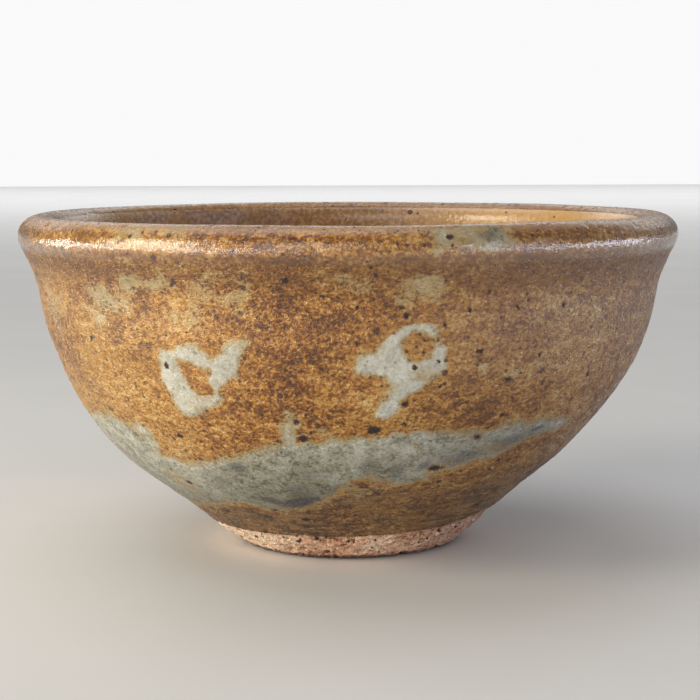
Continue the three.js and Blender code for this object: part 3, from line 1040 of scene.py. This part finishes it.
def slip_colour(shader, place, cloud, low):
    """Pale grey-green slip, granular, with blue-grey stains where the brush left cobalt."""
    height = shader.axis(place, "Z")
    grain = shader.noise(place, 0.7, 3.0, 0.6)
    mottle = shader.noise(place, 2.6, 3.0, 0.6)
    tone = shader.blend_sum((0.4, grain), (0.35, mottle), (0.25, cloud))
    motes = shader.specks(place, 1.0, 0.2, (2.2, 6.1, 3.7))
    base = shader.mix(shader.times(motes, 0.4), shader.ramp(tone, SLIP_TONES), srgb(220, 220, 208))
    stain = shader.blend_sum((1.0, shader.value_at_points("cobalt")), (2.2, shader.centred(grain)),
                             (1.4, shader.centred(mottle)))
    slip = shader.mix(shader.remap(stain, 0.25, 1.0), base, shader.ramp(tone, STAIN_TONES))
    # Thicker and so whiter on the two marks, duller low down
    whiter = shader.times(shader.remap(height, 29, 33, 0.0, 0.35), shader.remap(height, 52, 48))
    slip = shader.mix(whiter, slip, srgb(224, 220, 208))
    return shader.darkened(shader.times(low, 0.7), slip, srgb(176, 174, 168))


def slip_over(shader, rust, slip, cover):
    """Slip over the rust, olive where it thins."""
    olive = shader.mix(shader.remap(cover, 0.1, 0.5, 0.0, 0.7), rust, srgb(172, 150, 100))
    return shader.mix(shader.remap(cover, 0.3, 0.95), olive, slip)


def wall_specks(shader, place, slip_share):
    """Fine dark specks of two sizes and pores, fainter on the slip."""
    pores = shader.specks(place, 0.9, 0.2, (8.3, 1.9, 4.4))
    specks = shader.most(shader.specks(place, 1.7, 0.36),
                         shader.specks(place, 3.8, 0.6), shader.times(pores, 0.6))
    return shader.times(specks, shader.remap(slip_share, 0, 1, 0.85, 0.4))


def gloss_the_lip(shader, height, grain, fine):
    """A clear coat where the glaze pooled over the roll, fading out below the crest."""
    coat = shader.times(shader.remap(height, 56.6, 57.8), shader.remap(height, 62.3, 60.6, 0.0, 0.85))
    shader.give("Coat Weight", coat)
    shader.give("Coat Roughness", LIP_COAT_ROUGHNESS)
    shader.give("Coat IOR", GLAZE_IOR)
    shader.give("Coat Normal", shader.bump(shader.blend_sum((1.0, grain), (0.5, fine)), 0.12))


def outside_glaze():
    shader = Shader("rust_and_slip_glaze")
    place = shader.place()
    height = shader.axis(place, "Z")
    grain = shader.blend_sum((0.62, shader.noise(shader.place((1, 1, 1.2)), 0.62, 2.0, 0.6)),
                             (0.38, shader.noise(shader.place((1, 1, 1.4)), 1.7, 2.0, 0.6)))
    fine = shader.noise(place, 0.3, 1.0, 0.5)
    streak = shader.noise(shader.place((1, 1, 3.2)), 7.0, 4.0, 0.65, 0.4)
    cloud = shader.noise(place, 22.0, 3.0, 0.5)
    low = shader.remap(height, 27, 9)
    on_lip = shader.remap(height, 56.8, 58.2)

    cover = shader.blend_sum((1.0, shader.value_at_points("slip")), (1.1, shader.centred(grain)),
                             (0.8, shader.centred(streak)))
    slip_share = shader.remap(cover, 0.2, 0.8)
    rust = wall_rust(shader, place, grain, streak, cloud, low)
    colour = slip_over(shader, rust, slip_colour(shader, place, cloud, low), cover)
    # Painted shade: the lower right of the outside is darkened
    right_low_shade = shader.times(shader.remap(shader.axis(place, "X"), 2, 42), shader.remap(height, 42, 22))
    colour = shader.darkened(shader.times(right_low_shade, 0.85), colour, srgb(190, 182, 190))
    specks = wall_specks(shader, place, slip_share)
    colour = shader.mix(specks, colour, srgb(62, 32, 12))
    wobble = shader.blend_sum((0.7, shader.centred(fine)), (1.1, shader.centred(grain)))
    rim = spot_distance(shader, place, wobble)
    colour = shader.mix(shader.remap(rim, 0.22, 0.0, 0.0, 0.8), colour, srgb(96, 54, 22))
    spot = shader.remap(rim, 0.04, -0.2)
    colour = shader.mix(spot, colour, srgb(34, 20, 12))

    roughness = shader.remap(grain, 0.38, 0.62, 0.44, 0.26)
    roughness = shader.blend_sum((1.0, roughness), (-0.15, on_lip), (0.35, spot))
    shader.give("IOR", GLAZE_IOR)
    gloss_the_lip(shader, height, grain, fine)
    relief = shader.times(shader.centred(shader.blend_sum((0.7, grain), (0.3, fine))),
                          shader.remap(slip_share, 0, 1, 1.0, 0.5), shader.remap(on_lip, 0, 1, 1.0, 0.32))
    relief = shader.maths("SUBTRACT", relief, shader.times(specks, 0.06))
    return shader.finish(colour, roughness, shader.bump(relief, 0.6))


def inside_glaze():
    shader = Shader("inside_glaze")
    place = shader.place()
    across = shader.axis(place, "X")
    grain = shader.noise(place, 0.9, 3.0, 0.6)
    streak = shader.noise(shader.place((1, 1, 2.5)), 8.0, 4.0, 0.6, 0.5)
    cloud = shader.noise(place, 20.0, 3.0, 0.55)
    warm = shader.mix(0.45, rust_colour(shader, place, grain, streak, cloud), srgb(222, 182, 122))
    veil = shader.remap(shader.noise(place, 15.0, 4.0, 0.6, 0.6), 0.42, 0.62, 0.25, 0.85)
    colour = shader.mix(veil, warm, shader.ramp(grain, VEIL_TONES))
    # Painted light: the inside turns a brighter, warmer gold towards the right, where the far wall is lit
    colour = shader.mix(shader.remap(across, 4, 40, 0.0, 0.65), colour, srgb(240, 192, 120))
    # Painted shade: the inside is darkened across its middle
    middle = shader.times(shader.remap(across, -46, -12), shader.remap(across, 24, 0))
    colour = shader.darkened(middle, colour, srgb(214, 206, 194))
    specks = shader.most(shader.specks(place, 2.4, 0.36, share=0.5),
                         shader.specks(place, 6.0, 0.7, share=0.5))
    colour = shader.mix(shader.times(specks, 0.8), colour, srgb(70, 42, 24))
    shader.give("IOR", GLAZE_IOR)
    return shader.finish(colour, shader.remap(grain, 0.3, 0.7, 0.14, 0.24), shader.bump(grain, 0.14))


def bare_clay():
    shader = Shader("bare_clay")
    place = shader.place()
    across = shader.axis(place, "X")
    grain = shader.noise(place, 0.8, 4.0, 0.65)
    cloud = shader.noise(shader.place((1, 1, 2)), 9.0, 3.0, 0.55)
    colour = shader.ramp(shader.blend_sum((0.6, grain), (0.4, cloud)), CLAY_TONES)
    # Painted light and shade: the clay is paler towards the lit left, and darker and pinker towards the
    # right, partly painted shade
    colour = shader.mix(shader.remap(across, 4, 24, 0.0, 0.65), colour, srgb(168, 132, 118))
    colour = shader.mix(shader.remap(across, -2, -18, 0.0, 0.8), colour, srgb(255, 228, 200))
    grog = shader.most(shader.specks(place, 2.1, 0.6),
                       shader.specks(place, 1.1, 0.3, (1.3, 8.2, 5.5)))
    colour = shader.mix(shader.times(grog, 0.85), colour, srgb(255, 240, 216))
    holes = shader.most(shader.specks(place, 2.3, 0.5, (7.3, 2.1, 4.4)),
                        shader.specks(place, 1.2, 0.26, (4.3, 3.1, 2.4)))
    colour = shader.mix(shader.times(holes, 0.9), colour, srgb(74, 42, 26))
    # Painted shadow along the downward bevel at the foot's bottom edge
    bevel_shadow = shader.remap(shader.axis(place, "Z"), 1.5, 0.4, 0.0, 0.85)
    colour = shader.mix(bevel_shadow, colour, srgb(100, 58, 36))
    relief = shader.blend_sum((1.0, grain), (0.4, grog), (-0.9, holes))
    return shader.finish(colour, shader.remap(grain, 0.3, 0.7, 0.7, 0.95), shader.bump(relief, 0.7))


def pale_floor():
    shader = Shader("pale_floor")
    tone = shader.noise(shader.place(), 60.0, 2.0)
    return shader.finish(shader.ramp(tone, FLOOR_TONES), 0.7, shader.bump(tone, 0.01))


# -------- assembly

def add_floor():
    bpy.ops.mesh.primitive_plane_add(size=6, location=(0, 0, 0))
    floor = bpy.context.object
    floor.name = "floor"
    floor.data.materials.append(pale_floor())


def place_piece(piece, node):
    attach(piece, "root")
    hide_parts(node)


add_camera()
add_lights()
add_world()
add_floor()

clay = bare_clay()
glaze = outside_glaze()
place_piece(build_clay_wall(clay), "clay_body")
place_piece(build_foot(clay), "foot_ring")
place_piece(build_inner_coat(inside_glaze()), "inner_glaze")
place_piece(build_outer_coat(glaze), "outer_glaze")
for cad_node, sheet in build_slip(glaze).items():
    place_piece(sheet, cad_node)
